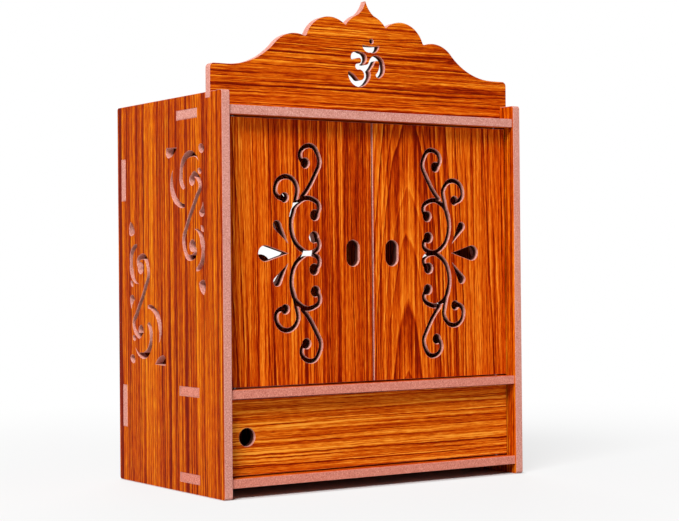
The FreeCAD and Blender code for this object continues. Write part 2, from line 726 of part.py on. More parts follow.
# Every object has to be sound before anything is written
for item in doc.Objects:
    if "Invalid" in item.State or "Error" in item.State:
        raise RuntimeError(f"{item.Name} failed: {item.State}")
for name, item in nodes.items():
    if item.Shape.isNull() or not item.Shape.isValid() or len(item.Shape.Solids) != 1:
        raise RuntimeError(f"{name} isn't one valid solid")
for name, item in nodes.items():
    item.Shape.exportStep(f"parts/{name}.step")
    box = item.Shape.BoundBox
    print(f"{name}: {item.Shape.Volume / 1000:.2f} cm3, "
          f"X {box.XMin:.2f} to {box.XMax:.2f}, Y {box.YMin:.2f} to {box.YMax:.2f}, "
          f"Z {box.ZMin:.2f} to {box.ZMax:.2f}")
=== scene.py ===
# %% [markdown]
# # A pooja mandir of laminated board
# A pooja mandir is a small shrine for the home. This one is a flat cabinet kit: every board is
# cut from the same fibre board with a wood-effect laminate on both faces, and tenons pass through
# slots to hold it together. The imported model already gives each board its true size, so this
# lesson only gives the boards their finish, and then sets up the floor, the light and the camera.

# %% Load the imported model
import json
import math

import bmesh
import bpy
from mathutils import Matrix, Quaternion, Vector


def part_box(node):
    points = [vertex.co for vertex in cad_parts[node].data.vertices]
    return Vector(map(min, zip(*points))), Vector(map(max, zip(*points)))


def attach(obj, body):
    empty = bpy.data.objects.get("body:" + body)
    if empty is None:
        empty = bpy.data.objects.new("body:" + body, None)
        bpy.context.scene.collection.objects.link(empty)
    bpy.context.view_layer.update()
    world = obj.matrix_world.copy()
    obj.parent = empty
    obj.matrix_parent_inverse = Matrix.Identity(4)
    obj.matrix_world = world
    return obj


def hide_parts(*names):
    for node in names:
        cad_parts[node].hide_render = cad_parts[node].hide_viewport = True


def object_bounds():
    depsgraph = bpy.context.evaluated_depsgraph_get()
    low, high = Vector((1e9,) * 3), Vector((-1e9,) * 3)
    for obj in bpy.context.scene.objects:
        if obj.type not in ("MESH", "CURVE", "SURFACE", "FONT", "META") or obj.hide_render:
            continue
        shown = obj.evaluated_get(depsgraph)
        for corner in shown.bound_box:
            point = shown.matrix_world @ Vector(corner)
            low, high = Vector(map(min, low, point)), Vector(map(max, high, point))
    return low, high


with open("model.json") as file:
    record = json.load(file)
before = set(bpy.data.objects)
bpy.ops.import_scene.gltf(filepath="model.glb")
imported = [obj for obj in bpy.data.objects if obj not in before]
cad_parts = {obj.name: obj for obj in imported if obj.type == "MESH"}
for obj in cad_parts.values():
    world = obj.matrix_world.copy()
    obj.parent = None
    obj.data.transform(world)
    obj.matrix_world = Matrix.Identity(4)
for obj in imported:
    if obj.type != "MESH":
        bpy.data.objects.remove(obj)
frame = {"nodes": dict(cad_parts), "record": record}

cad_low, cad_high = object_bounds()
print("nodes in the frame:", len(frame["nodes"]))
print("size in mm:", [round(1000 * side, 1) for side in cad_high - cad_low])

# %% [markdown]
# ## Small helpers for node trees
# A material is a tree of nodes, and written out plainly it takes four lines for each node. One
# helper adds a node, sets its options and fills its inputs: where the value is a socket it makes
# a link, and otherwise it types the value in. The others do the same for arithmetic and colours.

# %% Helpers that add nodes
def add(tree, kind, inputs=None, **options):
    """A new node. inputs maps a socket's name or number to a value or to another node's socket."""
    node = tree.nodes.new(kind)
    for key, value in options.items():
        setattr(node, key, value)
    for key, value in (inputs or {}).items():
        if isinstance(value, bpy.types.NodeSocket):
            tree.links.new(value, node.inputs[key])
        else:
            node.inputs[key].default_value = value
    return node


def maths(tree, operation, *values):
    """One Math node: its inputs in order, and its result."""
    return add(tree, "ShaderNodeMath", dict(enumerate(values)), operation=operation).outputs[0]


def mix_colours(tree, factor, first, second):
    """A Mix node has sockets for every kind of data: its colours are the ones typed RGBA."""
    node = add(tree, "ShaderNodeMix", {"Factor": factor}, data_type="RGBA")
    places = [socket for socket in node.inputs if socket.type == "RGBA"]
    for place, value in zip(places, (first, second)):
        if isinstance(value, bpy.types.NodeSocket):
            tree.links.new(value, place)
        else:
            place.default_value = value
    return [socket for socket in node.outputs if socket.type == "RGBA"][0]


def new_group(name, inputs, outputs):
    """A shader group with named sockets: gives the tree, what comes in and what goes out."""
    tree = bpy.data.node_groups.new(name, "ShaderNodeTree")
    for socket, kind, value in inputs:
        made = tree.interface.new_socket(socket, in_out="INPUT", socket_type=kind)
        if value is not None:
            made.default_value = value
    for socket, kind in outputs:
        tree.interface.new_socket(socket, in_out="OUTPUT", socket_type=kind)
    entry = tree.nodes.new("NodeGroupInput")
    leaving = tree.nodes.new("NodeGroupOutput")
    return tree, entry.outputs, leaving.inputs


print("helpers ready")

# %% [markdown]
# ## Colours
# Colours are read off as screen values from 0 to 255, and Blender's sockets want linear light.
# The standard curve turns one into the other, so the numbers below stay easy to compare with
# what a picture viewer shows. There are two families: the fiery orange-brown tones of the
# laminate, and the pinkish tones of the board's core, with a near black painted as shade in cuts.

# %% Screen colours to linear light
def screen(red, green, blue):
    """A screen colour as the linear colour, with alpha, that a socket takes."""
    linear = []
    for value in (red, green, blue):
        share = value / 255
        linear.append(share / 12.92 if share <= 0.04045 else ((share + 0.055) / 1.055) ** 2.4)
    return (*linear, 1.0)


# Tones of the laminate, from its darkest line to its lightest streak
LAMINATE_TONES = [
    (0.06, screen(112, 17, 0)),
    (0.22, screen(148, 31, 0)),
    (0.36, screen(179, 54, 0)),
    (0.50, screen(200, 74, 3)),
    (0.63, screen(217, 93, 8)),
    (0.78, screen(234, 117, 18)),
    (0.94, screen(249, 146, 40)),
]
# The board's core: its two main tones, its pale and its dark flecks, and the painted shade of its
# cut walls
CORE_MIDDLE = screen(214, 150, 137)
CORE_SHADE = screen(196, 128, 112)
CORE_PALE = screen(236, 186, 172)
CORE_DARK = screen(160, 92, 76)
WALL_PAINTED_SHADE = screen(62, 24, 16)
print("laminate tones:", len(LAMINATE_TONES))

# %% [markdown]
# ## The printed grain
# The laminate is a print of sawn wood. A picture of such a sheet could be wrapped round the
# boards, but it would repeat, and every board would show the same knot. Here the pattern follows
# how a log is cut, so each board can be sawn from another place of it. A log is a stack of
# cones, one for each year. A flat cut beside the middle of the log meets them in straight lines,
# and a flat cut over the middle meets them in nested arches. The group works out how far each
# point of the face lies from the log's centre line and divides that by the ring width. Each ring
# opens with a pale spring line and closes with a dark autumn line, and no two years are equally
# wide or strong. Long thin noise adds the streaks, the dark hair lines and the pores between the
# rings, and Lift makes a whole sheet paler or darker. It is a group because ten boards share it,
# each with its own cut through the log.

# %% Numbers of the printed grain
MILLIMETRES = 1000.0
# A layer of noise: how often it changes in a millimetre across and along the grain, and a shift
# that keeps it apart from the others. The fourth number multiplies what the layer adds to the
# place, in mm, or to the tone.
WOBBLE = (0.20, 0.06, 41.0, 1.5)
BEND = (0.012, 0.0035, 3.1, 12.0)
RIPPLE = (0.10, 0.010, 7.7, 2.2)
STREAKS = [
    (0.06, 0.0012, 11.0, 0.6),
    (0.32, 0.003, 17.0, 1.0),
    (0.85, 0.006, 23.0, 1.3),
    (1.2, 0.09, 31.0, 0.9),
    (2.4, 0.03, 29.0, 1.0),
]
HAIRS = (0.27, 0.0016, 53.0)
HAIR_WIDTH = 0.09
PORES = (2.4, 0.11, 37.0)
PORE_START, PORE_FULL = 0.10, 0.17
# How much wet and dry years differ in width and in strength. A ring runs from 0 to 1: spring
# fades near its start, and autumn rises by this power and ends near 1.
WEATHER_PACE, WEATHER_SWAY = 0.45, 3.2
WEAKEST_YEAR, YEAR_SPREAD = 0.26, 0.75
SPRING_START, SPRING_END = 0.04, 0.26
AUTUMN_RISE, AUTUMN_END = 2.6, 0.88
# Tones run from 0, the darkest line, to 1, the lightest streak. A sheet starts at the middle
# tone, and the others are added to it.
MIDDLE_TONE = 0.615
SPRING_TONE = 0.12
AUTUMN_TONE = -0.95
HAIR_TONE = -0.29
PORE_TONE = -0.13
print("layers of streaks in the grain:", len(STREAKS))

# %% [markdown]
# The tree follows the text above line by line. It starts with the fibres' own wobble, so that
# everything after it wobbles too, and then bends the trunk and ripples its rings. The tone is
# a sum: the sheet's middle tone, the two edges of each ring, the streaks, the hairs, the pores.

# %% Shader group: printed grain
def build_grain_group():
    tree, given, result = new_group(
        "Printed grain",
        [
            ("Place", "NodeSocketVector", None),
            ("Pith Across", "NodeSocketFloat", 0.0),
            ("Pith Depth", "NodeSocketFloat", 60.0),
            ("Taper", "NodeSocketFloat", 0.05),
            ("Ring Width", "NodeSocketFloat", 5.0),
            ("Lift", "NodeSocketFloat", 0.0),
            ("Seed", "NodeSocketFloat", 0.0),
        ],
        [("Tone", "NodeSocketFloat"), ("Pores", "NodeSocketFloat")],
    )
    to_mm = add(tree, "ShaderNodeVectorMath", {0: given["Place"], "Scale": MILLIMETRES},
                operation="SCALE")
    split = add(tree, "ShaderNodeSeparateXYZ", {0: to_mm.outputs[0]})
    across, depth, along = split.outputs

    def streaks(across_scale, along_scale, shift, detail=2.0):
        """Noise drawn out along the grain, from about -0.3 to 0.3."""
        vector = add(tree, "ShaderNodeCombineXYZ", {
            0: maths(tree, "MULTIPLY", across, across_scale),
            1: maths(tree, "ADD", given["Seed"], shift),
            2: maths(tree, "MULTIPLY", along, along_scale),
        })
        noise = add(tree, "ShaderNodeTexNoise", {"Vector": vector.outputs[0], "Scale": 1.0,
                                                 "Detail": detail, "Roughness": 0.6})
        return maths(tree, "SUBTRACT", noise.outputs[0], 0.5)

    def layer(across_scale, along_scale, shift, amount):
        """Streaks that move a place by about a third of the amount, in mm."""
        return maths(tree, "MULTIPLY", streaks(across_scale, along_scale, shift), amount)

    across = maths(tree, "ADD", across, layer(*WOBBLE))
    bend = layer(*BEND)
    ripple = layer(*RIPPLE)
    offset = maths(tree, "ADD", maths(tree, "SUBTRACT", across, given["Pith Across"]), bend)
    cone = maths(tree, "MULTIPLY_ADD", along, given["Taper"], given["Pith Depth"])
    cone = maths(tree, "ADD", cone, depth)
    squares = maths(tree, "ADD", maths(tree, "MULTIPLY", offset, offset),
                    maths(tree, "MULTIPLY", cone, cone))
    distance = maths(tree, "ADD", maths(tree, "SQRT", squares), ripple)
    rings = maths(tree, "DIVIDE", distance, given["Ring Width"])

    # Wet and dry years: rings of uneven width and of uneven strength
    weather = add(tree, "ShaderNodeTexNoise", {
        "W": maths(tree, "MULTIPLY", rings, WEATHER_PACE),
        "Scale": 1.0,
        "Detail": 1.0,
    }, noise_dimensions="1D")
    rings = maths(tree, "MULTIPLY_ADD", weather.outputs[0], WEATHER_SWAY, rings)
    part = maths(tree, "FRACT", rings)
    year = maths(tree, "FLOOR", rings)
    luck = add(tree, "ShaderNodeTexWhiteNoise", {"W": maths(tree, "ADD", year, given["Seed"])},
               noise_dimensions="1D").outputs[0]
    strength = maths(tree, "MULTIPLY_ADD", maths(tree, "MULTIPLY", luck, luck), YEAR_SPREAD,
                     WEAKEST_YEAR)
    fall = add(tree, "ShaderNodeMapRange", {"Value": part, "From Min": AUTUMN_END,
                                            "From Max": 1.0, "To Min": 1.0, "To Max": 0.0},
               interpolation_type="SMOOTHSTEP")
    late = maths(tree, "MULTIPLY", maths(tree, "POWER", part, AUTUMN_RISE), fall.outputs[0])
    late = maths(tree, "MULTIPLY", late, strength)
    early = add(tree, "ShaderNodeMapRange", {"Value": part, "From Min": SPRING_START,
                                             "From Max": SPRING_END, "To Min": SPRING_TONE,
                                             "To Max": 0.0},
                interpolation_type="SMOOTHSTEP")

    sheet = maths(tree, "ADD", given["Lift"], MIDDLE_TONE)
    tone = maths(tree, "MULTIPLY_ADD", late, AUTUMN_TONE, sheet)
    tone = maths(tree, "ADD", tone, early.outputs[0])
    for *place, weight in STREAKS:
        tone = maths(tree, "MULTIPLY_ADD", streaks(*place), weight, tone)

    # Where slow noise passes through zero there is a hair line, as thin as the noise is steep
    hair = maths(tree, "ABSOLUTE", streaks(*HAIRS, detail=0.0))
    hair = add(tree, "ShaderNodeMapRange", {"Value": hair, "From Max": HAIR_WIDTH,
                                            "To Min": HAIR_TONE, "To Max": 0.0})
    tone = maths(tree, "ADD", tone, hair.outputs[0])
    pores = add(tree, "ShaderNodeMapRange", {"Value": streaks(*PORES, detail=1.0),
                                             "From Min": PORE_START, "From Max": PORE_FULL})
    tone = maths(tree, "MULTIPLY_ADD", pores.outputs[0], PORE_TONE, tone)
    tree.links.new(maths(tree, "MINIMUM", maths(tree, "MAXIMUM", tone, 0.0), 1.0), result["Tone"])
    tree.links.new(pores.outputs[0], result["Pores"])
    return tree


grain_group = build_grain_group()
print("nodes in the grain group:", len(grain_group.nodes))

# %% [markdown]
# ## The raw edge
# Where the board is sawn, its core shows: wood fibres pressed with resin, pinkish tan, with paler
# and darker flecks about a millimetre long. Two noises of different size are enough, because
# the eye only checks that the edge isn't one flat colour. A colour factor multiplies the result,
# and makes the edges of the two lower shelves darker and redder.

# %% Shader group: pressed fibres
FLECK_SIZE = 1.3
CLOUDS_PER_METRE = 140.0
FLECK_STRENGTH = 0.8
# The fine noise's peaks become pale flecks and its hollows dark ones
PALE_START, PALE_FULL = 0.53, 0.70
DARK_START, DARK_FULL = 0.46, 0.29


def build_core_group():
    tree, given, result = new_group(
        "Pressed fibres",
        [
            ("Place", "NodeSocketVector", None),
            ("Fleck Size", "NodeSocketFloat", FLECK_SIZE),
            ("Colour Factor", "NodeSocketColor", (1.0, 1.0, 1.0, 1.0)),
        ],
        [("Color", "NodeSocketColor"), ("Height", "NodeSocketFloat")],
    )
    per_metre = maths(tree, "DIVIDE", MILLIMETRES, given["Fleck Size"])
    cloud = add(tree, "ShaderNodeTexNoise", {"Vector": given["Place"],
                                             "Scale": CLOUDS_PER_METRE, "Detail": 3.0})
    fleck = add(tree, "ShaderNodeTexNoise", {"Vector": given["Place"], "Scale": per_metre,
                                             "Detail": 2.0, "Roughness": 0.7})
    pale = add(tree, "ShaderNodeMapRange", {"Value": fleck.outputs[0], "From Min": PALE_START,
                                            "From Max": PALE_FULL, "To Max": FLECK_STRENGTH})
    dark = add(tree, "ShaderNodeMapRange", {"Value": fleck.outputs[0], "From Min": DARK_START,
                                            "From Max": DARK_FULL, "To Max": FLECK_STRENGTH})
    colour = mix_colours(tree, cloud.outputs[0], CORE_MIDDLE, CORE_SHADE)
    colour = mix_colours(tree, pale.outputs[0], colour, CORE_PALE)
    colour = mix_colours(tree, dark.outputs[0], colour, CORE_DARK)
    scaled_colour = add(tree, "ShaderNodeVectorMath", {0: colour, 1: given["Colour Factor"]},
                  operation="MULTIPLY")
    tree.links.new(scaled_colour.outputs[0], result["Color"])
    tree.links.new(fleck.outputs[0], result["Height"])
    return tree


core_group = build_core_group()
print("nodes in the core group:", len(core_group.nodes))

# %% [markdown]
# ## Materials
# Each board gets its own laminate, because each was cut from another place of the print. The
# material only says which way the grain runs and where the log's middle lies. The finish is the
# film of such boards: a very faint sheen, which leaves the colours deep even in a white room, a
# little duller on the pale streaks, and pores pressed into the film by about a hundredth of a
# millimetre.
#
# The raw edge comes plain, or darker and redder on the two lower shelves. The cut-outs of the
# doors and the header have a pale rim at the front face, and behind it walls painted near black:
# painted shade, for the little light that gets deep into the narrow cuts.

# %% Laminate and raw edge materials
# How dull the film and the core are, how much they mirror, the depth of their relief in metres
# and the share of it that is used
FILM_ROUGHNESS = 0.34
FILM_DULLING = 0.10
FILM_SPECULAR = 0.015
FILM_RELIEF = 0.0001
FILM_BUMP = 0.12
CORE_ROUGHNESS = 0.85
CORE_SPECULAR = 0.15
CORE_RELIEF = 0.0002
CORE_BUMP = 0.3
# The painted shade of the cut walls sets in this far behind the front face, and is full this far
# behind it, in metres
SHADE_PAINT_START = 0.0012
SHADE_PAINT_END = 0.0040
# Factors for the core's colour: the plain one leaves it, the other makes the lower shelves' edges
# darker and redder
PLAIN_CORE = (1.0, 1.0, 1.0, 1.0)
DARKER_REDDER_EDGE = (1.0, 0.79, 0.71, 1.0)


def new_material(name):
    """An empty material: gives it, its tree and its Principled shader."""
    material = bpy.data.materials.new(name)
    material.use_nodes = True
    tree = material.node_tree
    shader = [node for node in tree.nodes if node.type == "BSDF_PRINCIPLED"][0]
    return material, tree, shader


def laminate(name, across, depth, along, pith_across, pith_depth, taper, ring_width, lift,
             seed, tint):
    """The film on one board. across, depth and along name the object's axes, as X, Y or Z.
    pith_depth is how far the log's middle lies below the object's origin on the depth axis, in
    mm, and tint multiplies the red, green and blue of every tone."""
    material, tree, shader = new_material(name)
    place = add(tree, "ShaderNodeTexCoord")
    axes = add(tree, "ShaderNodeSeparateXYZ", {0: place.outputs["Object"]})
    turned = add(tree, "ShaderNodeCombineXYZ", {
        "X": axes.outputs[across],
        "Y": axes.outputs[depth],
        "Z": axes.outputs[along],
    })
    grain = add(tree, "ShaderNodeGroup", {
        "Place": turned.outputs[0],
        "Pith Across": pith_across,
        "Pith Depth": pith_depth,
        "Taper": taper,
        "Ring Width": ring_width,
        "Lift": lift,
        "Seed": seed,
    }, node_tree=grain_group)
    ramp = add(tree, "ShaderNodeValToRGB", {0: grain.outputs["Tone"]})
    stops = ramp.color_ramp.elements
    while len(stops) < len(LAMINATE_TONES):
        stops.new(0.5)
    for stop, (place_on_ramp, colour) in zip(stops, LAMINATE_TONES):
        stop.position = place_on_ramp
        stop.color = [share * part for share, part in zip((*tint, 1.0), colour)]
    roughness = maths(tree, "MULTIPLY_ADD", grain.outputs["Tone"], FILM_DULLING, FILM_ROUGHNESS)
    film = maths(tree, "MULTIPLY_ADD", grain.outputs["Pores"], -1.0, grain.outputs["Tone"])
    bump = add(tree, "ShaderNodeBump", {"Height": film, "Strength": FILM_BUMP,
                                        "Distance": FILM_RELIEF})
    tree.links.new(ramp.outputs[0], shader.inputs["Base Color"])
    tree.links.new(roughness, shader.inputs["Roughness"])
    tree.links.new(bump.outputs[0], shader.inputs["Normal"])
    shader.inputs["Specular IOR Level"].default_value = FILM_SPECULAR
    return material


def raw_edge(name, colour_factor, front=None):
    """The core where a board is cut. Where front, the Y of the board's face, is given, the wall
    is painted near black behind its rim: painted shade deep in the cut."""
    material, tree, shader = new_material(name)
    place = add(tree, "ShaderNodeTexCoord")
    fibres = add(tree, "ShaderNodeGroup", {"Place": place.outputs["Object"], "Colour Factor": colour_factor},
                 node_tree=core_group)
    colour = fibres.outputs["Color"]
    if front is not None:
        # Painted shade: the wall turns near black deeper behind the board's front face
        axes = add(tree, "ShaderNodeSeparateXYZ", {0: place.outputs["Object"]})
        painted_shade_mask = add(tree, "ShaderNodeMapRange", {
            "Value": axes.outputs["Y"],
            "From Min": front + SHADE_PAINT_START,
            "From Max": front + SHADE_PAINT_END,
        }, interpolation_type="SMOOTHSTEP")
        colour = mix_colours(tree, painted_shade_mask.outputs[0], colour, WALL_PAINTED_SHADE)
    bump = add(tree, "ShaderNodeBump", {"Height": fibres.outputs["Height"],
                                        "Strength": CORE_BUMP, "Distance": CORE_RELIEF})
    tree.links.new(colour, shader.inputs["Base Color"])
    tree.links.new(bump.outputs[0], shader.inputs["Normal"])
    shader.inputs["Roughness"].default_value = CORE_ROUGHNESS
    shader.inputs["Specular IOR Level"].default_value = CORE_SPECULAR
    return material


plain_edge = raw_edge("raw_board_edge", PLAIN_CORE)
red_edge = raw_edge("raw_board_edge_red", DARKER_REDDER_EDGE)
edge_of = {"middle_shelf": red_edge, "bottom_shelf": red_edge}
# The doors and the header get cut walls whose depth is painted near black as painted shade
shaded_wall_of = {node: raw_edge("painted_shade_wall_" + node, PLAIN_CORE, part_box(node)[0].y)
           for node in ("door_left", "door_right", "storage_door", "header")}
print("edge materials:", plain_edge.name, red_edge.name, "and", len(shaded_wall_of), "walls with painted shade")

# %% [markdown]
# ## Which way each board was cut
# On the sides, the doors and the back panel the grain stands upright. On the header, the storage
# door and the shelves it lies level. The pith is the log's middle: far from the board it gives
# straight lines, as on the sides and the left door. The right door and the back panel have it
# close by, so that arches climb up them. The sides, the header and the storage door are tinted more
# golden; on the sides the tint is painted light, fitted to how the sheen and the floor's light
# colour them.

# %% One laminate for each board
UPRIGHT_SIDE = {"across": "Y", "depth": "X", "along": "Z"}
UPRIGHT_FRONT = {"across": "X", "depth": "Y", "along": "Z"}
LEVEL_FRONT = {"across": "Z", "depth": "Y", "along": "X"}
LEVEL_SHELF = {"across": "Y", "depth": "Z", "along": "X"}

# Board, its axes, where the pith lies across, and how far below the board's lowest face on the
# depth axis, both in mm, the taper, the ring width in mm, how much paler the sheet is, and a seed
CUTS = [
    ("side_left", UPRIGHT_SIDE, 330.0, 40.0, 0.01, 7.0, -0.05, 1.0),
    ("side_right", UPRIGHT_SIDE, -260.0, 60.0, 0.01, 6.5, 0.0, 2.0),
    ("back_panel", UPRIGHT_FRONT, -60.0, 20.0, 0.08, 6.0, 0.0, 3.0),
    ("door_left", UPRIGHT_FRONT, -176.0, 30.0, 0.06, 4.2, -0.03, 4.0),
    ("door_right", UPRIGHT_FRONT, 38.0, 4.0, 0.11, 5.0, 0.01, 5.0),
    ("storage_door", LEVEL_FRONT, -220.0, 30.0, 0.03, 6.0, 0.11, 6.0),
    # The header's small negative lift is painted shade: it darkens the top of the cabinet a little
    ("header", LEVEL_FRONT, 640.0, 50.0, 0.05, 4.2, -0.02, 7.3),
    ("top_shelf", LEVEL_SHELF, 240.0, 40.0, 0.04, 5.5, 0.0, 8.0),
    ("middle_shelf", LEVEL_SHELF, -250.0, 50.0, 0.05, 5.5, 0.0, 9.0),
    ("bottom_shelf", LEVEL_SHELF, 20.0, 35.0, 0.08, 5.5, 0.0, 10.0),
]
# What a sheet's tones are multiplied by, where it is tinted; on the sides it is painted light
UNTINTED = (1.0, 1.0, 1.0)
GOLDEN = (0.90, 1.12, 0.65)
FAINTLY_GOLDEN = (0.97, 1.12, 1.0)
HONEY = (0.97, 1.20, 1.5)
TINTS = {"side_left": GOLDEN, "side_right": GOLDEN, "header": FAINTLY_GOLDEN,
         "storage_door": HONEY}
films = {}
for node, axes, pith_across, pith_below, taper, ring_width, lift, seed in CUTS:
    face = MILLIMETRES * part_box(node)[0]["XYZ".index(axes["depth"])]
    films[node] = laminate("laminate_" + node, **axes, pith_across=pith_across,
                           pith_depth=pith_below - face, taper=taper, ring_width=ring_width,
                           lift=lift, seed=seed, tint=TINTS.get(node, UNTINTED))
print("laminates:", ", ".join(sorted(films)))

# %% [markdown]
# ## The boards
# A sawn board never has a knife-sharp edge: it is broken by a quarter of a millimetre, and that
# thin slope is what catches the light around every cut-out. The boards could be drawn again from
# boxes and curves, but the imported solids already have every slot and scroll, so a copy of each is
# used and the imported mesh isn't touched. The copy is merged, its flat triangles are joined into
# whole faces, and its sharp edges are bevelled.
#
# Faces that look along the board's thickness get the laminate and stay flat. All others get the
# raw core, or a wall with painted shade in its depth where they lie inside a door's rim or the
# header's sign, and are shaded smooth, so that the curves of the scrollwork don't show their
# chords.

# %% Boards with eased edges
EASE = 0.00025
SAME_POINT = 0.00012
SHARP = math.radians(35)
SAME_PLANE = math.radians(0.5)
FLAT_ENOUGH = 0.98
# The thickness runs along X, Y or Z: 1, which is Y, for every board not named here
BOARD_AXIS = {"side_left": 0, "side_right": 0, "top_shelf": 2, "middle_shelf": 2,
              "bottom_shelf": 2}
# A door's cut-outs lie further in than this, and the header's inside the window of its sign
RIM_WIDTH = 0.003
SIGN_HALF, SIGN_LOW, SIGN_TOP = 0.022, 0.347, 0.394
body_of_node = {node: body for body, nodes in frame["record"]["behaviour"]["bodies"].items()
                for node in nodes}


def cut_out_window(node):
    """Left, right, low and high limits of the part of an upright board that holds its cut-outs."""
    low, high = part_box(node)
    if node == "header":
        return -SIGN_HALF, SIGN_HALF, SIGN_LOW, SIGN_TOP
    return low.x + RIM_WIDTH, high.x - RIM_WIDTH, low.z + RIM_WIDTH, high.z - RIM_WIDTH


def eased_board(node):
    """A copy of a board's mesh with its sharp edges broken and its materials in place."""
    mesh = frame["nodes"][node].data.copy()
    mesh.name = node + "_board"
    if "custom_normal" in mesh.attributes:
        mesh.attributes.remove(mesh.attributes["custom_normal"])
    mesh.materials.clear()
    mesh.materials.append(films[node])
    mesh.materials.append(edge_of.get(node, plain_edge))
    if node in shaded_wall_of:
        mesh.materials.append(shaded_wall_of[node])
        left, right, bottom, top = cut_out_window(node)
    shape = bmesh.new()
    shape.from_mesh(mesh)
    bmesh.ops.remove_doubles(shape, verts=shape.verts, dist=SAME_POINT)
    bmesh.ops.dissolve_limit(shape, angle_limit=SAME_PLANE, verts=shape.verts,
                             edges=shape.edges)
    sharp = [edge for edge in shape.edges
             if len(edge.link_faces) == 2 and edge.calc_face_angle() > SHARP]
    bmesh.ops.bevel(shape, geom=sharp, offset=EASE, segments=1, affect="EDGES",
                    clamp_overlap=False)
    thickness = BOARD_AXIS.get(node, 1)
    for face in shape.faces:
        flat = abs(face.normal[thickness]) > FLAT_ENOUGH
        face.smooth = not flat
        face.material_index = 0 if flat else 1
        spot = face.calc_center_median()
        if node in shaded_wall_of and not flat and left < spot.x < right and bottom < spot.z < top:
            face.material_index = 2
    open_edges = sum(1 for edge in shape.edges if len(edge.link_faces) != 2)
    shape.to_mesh(mesh)
    shape.free()
    mesh.set_sharp_from_angle(angle=SHARP)
    board = bpy.data.objects.new(node + "_board", mesh)
    bpy.context.scene.collection.objects.link(board)
    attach(board, body_of_node[node])
    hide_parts(node)
    print(f"{board.name}: {len(mesh.polygons)} faces, {len(sharp)} eased, {open_edges} open edges")
    return board


boards = [eased_board(node) for node in films]
print("boards made:", len(boards))

# %% [markdown]
# ## The pivot pins
# Each door turns on two short steel pins, cut from drawn rod. The marks of the cutter run round
# the rod, so a noise squeezed along its length is enough. It changes the roughness more than the
# colour, because bare steel shows its marks mostly in how it mirrors the room.

# %% Steel for the pins
STEEL_DARK = screen(104, 104, 106)
STEEL_LIGHT = screen(138, 138, 140)
MARKS = (400.0, 400.0, 9000.0)
MARK_RELIEF = 0.00002
MARK_BUMP = 0.2
STEEL_ROUGHNESS = 0.18
MARK_ROUGHNESS = 0.25


def turned_steel():
    material, tree, shader = new_material("pivot_pin_steel")
    place = add(tree, "ShaderNodeTexCoord")
    stretched = add(tree, "ShaderNodeMapping", {"Vector": place.outputs["Object"],
                                                "Scale": MARKS})
    turning_marks = add(tree, "ShaderNodeTexNoise", {"Vector": stretched.outputs[0],
                                                     "Scale": 1.0, "Detail": 2.0})
    roughness = maths(tree, "MULTIPLY_ADD", turning_marks.outputs[0], MARK_ROUGHNESS,
                      STEEL_ROUGHNESS)
    colour = mix_colours(tree, turning_marks.outputs[0], STEEL_DARK, STEEL_LIGHT)
    bump = add(tree, "ShaderNodeBump", {"Height": turning_marks.outputs[0],
                                        "Strength": MARK_BUMP, "Distance": MARK_RELIEF})
    tree.links.new(colour, shader.inputs["Base Color"])
    tree.links.new(roughness, shader.inputs["Roughness"])
    tree.links.new(bump.outputs[0], shader.inputs["Normal"])
    shader.inputs["Metallic"].default_value = 1.0
    return material


steel = turned_steel()
print("steel material:", steel.name)

# %% [markdown]
# They are the same pin six times over, so a small Geometry Nodes tree turns one and sets it on
# points. A cylinder would have knife-sharp ends. Here a disc is pushed up three times, widening
# at the first step and narrowing at the last, which gives the shaft and its two chamfers.

# %% Geometry Nodes tree: a turned pin on every point
# The sizes that the tree starts from, in metres
PIN_RADIUS = 0.0015
PIN_LENGTH = 0.018
PIN_CHAMFER = 0.0003
PIN_SIDES = 32
WELD = 0.00001


